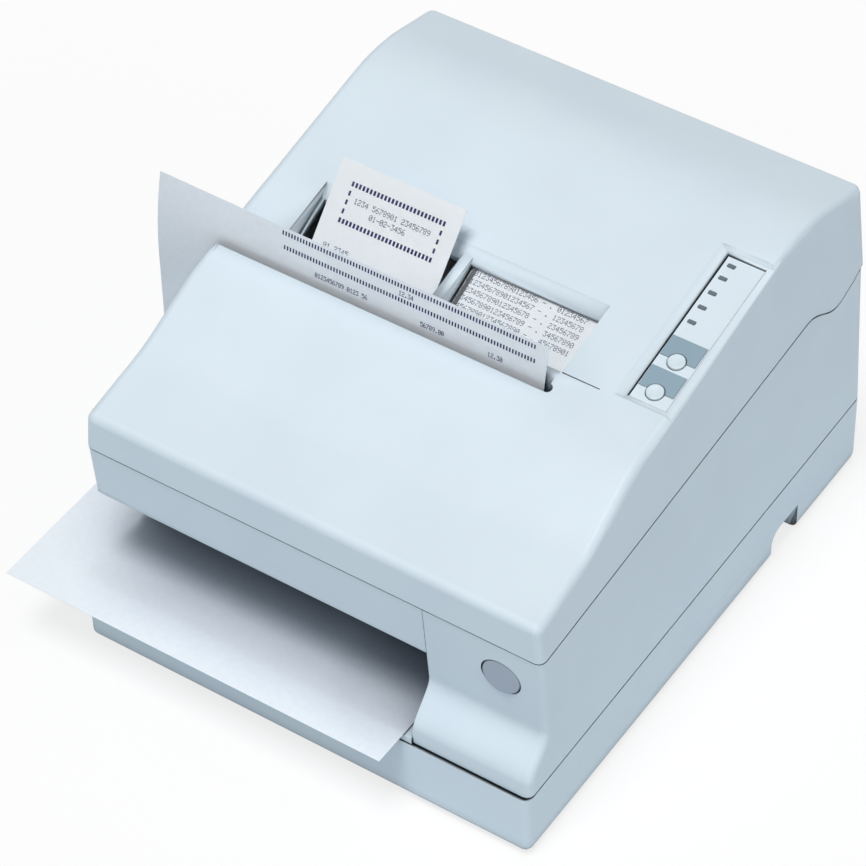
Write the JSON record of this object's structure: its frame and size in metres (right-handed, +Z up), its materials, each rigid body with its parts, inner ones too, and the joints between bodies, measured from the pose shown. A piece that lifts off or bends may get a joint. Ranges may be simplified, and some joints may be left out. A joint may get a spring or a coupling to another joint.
{
  "type": "dot matrix printer",
  "caption": "Desktop dot matrix printer with a rear-hinged S-curved cover, receipt and journal paper stations, a slip path open at the left and a sloping button panel.",
  "frame": {"origin": "on the floor plane under the middle of the casing's width and depth; the rubber feet stand at z = 0", "axes": "+X to the printer's right seen from its front, +Y towards its rear, +Z up"},
  "size_m": [0.2839, 0.324, 0.2057],
  "materials": {
    "moulded_shell": "fine-grained",
    "rubber": "matte",
    "zinc_steel": "satin",
    "board_green": "satin",
    "connector_black": "satin",
    "connector_shell": "satin",
    "ground_steel": "ground",
    "motor_can": "satin",
    "dark_plastic": "satin",
    "platen_steel": "satin",
    "nylon": "satin",
    "paper": "uncoated paper",
    "cassette_black": "satin",
    "inked_fabric": "inked weave",
    "belt_rubber": "matte",
    "clear_pane": "clear moulded plastic",
    "panel_face": "smooth",
    "label_grey": "printed",
    "lamp_lens": "unlit lens",
    "button_light": "satin",
    "button_grey": "satin",
    "head_alloy": "cast",
    "knob_blue": "satin",
    "gear_brass": "machined"
  },
  "bodies": {
    "housing": {"base_case": "moulded_shell", "rubber_feet": "rubber", "screws": "zinc_steel", "main_board": "board_green", "power_socket": "connector_black", "data_sockets": "connector_shell", "main_body": "moulded_shell", "slip_bar": "moulded_shell", "slip_table": "moulded_shell", "chassis_plate": "zinc_steel", "right_frame": "zinc_steel", "left_frame": "zinc_steel", "head_frame": "zinc_steel", "guide_shafts": "ground_steel", "carriage_motor": "motor_can", "platen": "platen_steel", "shaft_hanger": "dark_plastic", "receipt_motor": "motor_can", "journal_motor": "motor_can", "slip_motor": "motor_can", "roll_bin": "dark_plastic", "roll_spindle": "nylon", "journal_plate": "ground_steel", "tear_bar": "ground_steel", "hinge_pins": "zinc_steel", "power_switch": "connector_black", "receipt_strip": "paper", "journal_strip": "paper", "slip_sheet": "paper", "ribbon_cassette": "cassette_black", "ink_ribbon": "inked_fabric", "timing_belt": "belt_rubber"},
    "cover": {"top_cover": "moulded_shell", "journal_window": "clear_pane", "panel_plate": "panel_face", "feed_labels": "label_grey", "status_lamps": "lamp_lens"},
    "receipt_button": {"receipt_feed_button": "button_light"},
    "journal_button": {"journal_feed_button": "button_light"},
    "power_key": {"power_button": "button_grey"},
    "print_carriage": {"carriage": "dark_plastic", "print_head": "head_alloy"},
    "belt_drive_pulley": {"drive_pulley": "head_alloy"},
    "belt_idler_pulley": {"idler_pulley": "head_alloy"},
    "knob": {"ribbon_knob": "knob_blue"},
    "receipt_drive": {"receipt_shaft": "nylon", "receipt_roller": "rubber"},
    "receipt_motor_gear": {"receipt_pinion": "gear_brass"},
    "receipt_press": {"receipt_pinch": "nylon"},
    "receipt_reel": {"receipt_roll": "paper"},
    "journal_drive": {"journal_shaft": "nylon", "journal_roller": "rubber"},
    "journal_motor_gear": {"journal_pinion": "gear_brass"},
    "journal_press": {"journal_pinch": "nylon"},
    "journal_reel": {"journal_roll": "paper"},
    "journal_take_up": {"take_up_spool": "dark_plastic"},
    "slip_drive": {"slip_shaft": "nylon", "slip_rollers": "rubber"},
    "slip_motor_gear": {"slip_pinion": "gear_brass"},
    "slip_press": {"slip_pinch": "nylon"}
  },
  "joints": [
    {"name": "cover_hinge", "type": "hinge", "parent": "housing", "child": "cover", "pos_m": [0, 0.14, 0.144], "axis": [-1, 0, 0], "range_deg": [0, 80]},
    {"name": "receipt_feed_press", "type": "slide", "parent": "cover", "child": "receipt_button", "axis": [0, 0.1972, -0.9804], "range_m": [0, 0.0008], "stiffness_N_per_m": 400, "springref_m": -0.0005},
    {"name": "journal_feed_press", "type": "slide", "parent": "cover", "child": "journal_button", "axis": [0, 0.1972, -0.9804], "range_m": [0, 0.0008], "stiffness_N_per_m": 400, "springref_m": -0.0005},
    {"name": "power_press", "type": "slide", "parent": "housing", "child": "power_key", "axis": [0, 1, 0], "range_m": [0, 0.003], "stiffness_N_per_m": 300, "springref_m": -0.001},
    {"name": "carriage_slide", "type": "slide", "parent": "housing", "child": "print_carriage", "axis": [1, 0, 0], "range_m": [-0.05, 0.07]},
    {"name": "drive_pulley_spin", "type": "hinge", "parent": "housing", "child": "belt_drive_pulley", "pos_m": [0.0898, -0.0969, 0.086], "axis": [0, 0, 1], "continuous": true},
    {"name": "idler_pulley_spin", "type": "hinge", "parent": "housing", "child": "belt_idler_pulley", "pos_m": [-0.104, -0.0969, 0.086], "axis": [0, 0, 1], "continuous": true},
    {"name": "ribbon_knob_spin", "type": "hinge", "parent": "housing", "child": "knob", "pos_m": [-0.1, -0.1085, 0.13], "axis": [0, 0, 1], "continuous": true},
    {"name": "receipt_roll_spin", "type": "hinge", "parent": "housing", "child": "receipt_reel", "pos_m": [-0.04895, 0.09, 0.0815], "axis": [1, 0, 0], "continuous": true},
    {"name": "receipt_drive_spin", "type": "hinge", "parent": "housing", "child": "receipt_drive", "pos_m": [-0.04895, -0.0267, 0.09], "axis": [1, 0, 0], "continuous": true},
    {"name": "receipt_motor_spin", "type": "hinge", "parent": "housing", "child": "receipt_motor_gear", "pos_m": [-0.1165, -0.01519, 0.09419], "axis": [1, 0, 0], "continuous": true},
    {"name": "receipt_press_spin", "type": "hinge", "parent": "housing", "child": "receipt_press", "pos_m": [-0.04895, -0.03152, 0.07967], "axis": [1, 0, 0], "continuous": true},
    {"name": "journal_roll_spin", "type": "hinge", "parent": "housing", "child": "journal_reel", "pos_m": [0.02765, 0.09, 0.0815], "axis": [1, 0, 0], "continuous": true},
    {"name": "journal_drive_spin", "type": "hinge", "parent": "housing", "child": "journal_drive", "pos_m": [0.02765, -0.0267, 0.09], "axis": [1, 0, 0], "continuous": true},
    {"name": "journal_motor_spin", "type": "hinge", "parent": "housing", "child": "journal_motor_gear", "pos_m": [0.0705, -0.01519, 0.09419], "axis": [1, 0, 0], "continuous": true},
    {"name": "journal_press_spin", "type": "hinge", "parent": "housing", "child": "journal_press", "pos_m": [0.02765, -0.03152, 0.07967], "axis": [1, 0, 0], "continuous": true},
    {"name": "take_up_spin", "type": "hinge", "parent": "housing", "child": "journal_take_up", "pos_m": [0.02765, 0.056, 0.154], "axis": [1, 0, 0], "continuous": true},
    {"name": "slip_drive_spin", "type": "hinge", "parent": "housing", "child": "slip_drive", "pos_m": [-0.03, -0.04269, 0.057], "axis": [1, 0, 0], "continuous": true},
    {"name": "slip_motor_spin", "type": "hinge", "parent": "housing", "child": "slip_motor_gear", "pos_m": [0.0755, -0.03515, 0.04735], "axis": [1, 0, 0], "continuous": true},
    {"name": "slip_press_spin", "type": "hinge", "parent": "housing", "child": "slip_press", "pos_m": [-0.03, -0.05498, 0.0666], "axis": [1, 0, 0], "continuous": true}
  ],
  "couplings": [
    {"joint": "drive_pulley_spin", "follows": "carriage_slide", "rad_per_m": -132.45},
    {"joint": "idler_pulley_spin", "follows": "carriage_slide", "rad_per_m": -132.45},
    {"joint": "receipt_drive_spin", "follows": "receipt_roll_spin", "ratio": 5.4295},
    {"joint": "receipt_motor_spin", "follows": "receipt_roll_spin", "ratio": -12.669},
    {"joint": "receipt_press_spin", "follows": "receipt_roll_spin", "ratio": -10.859},
    {"joint": "journal_drive_spin", "follows": "journal_roll_spin", "ratio": 5.4295},
    {"joint": "journal_motor_spin", "follows": "journal_roll_spin", "ratio": -12.669},
    {"joint": "journal_press_spin", "follows": "journal_roll_spin", "ratio": -10.859},
    {"joint": "take_up_spin", "follows": "journal_roll_spin", "ratio": 2.6266},
    {"joint": "slip_motor_spin", "follows": "slip_drive_spin", "ratio": -2.3333},
    {"joint": "slip_press_spin", "follows": "slip_drive_spin", "ratio": -0.875}
  ]
}
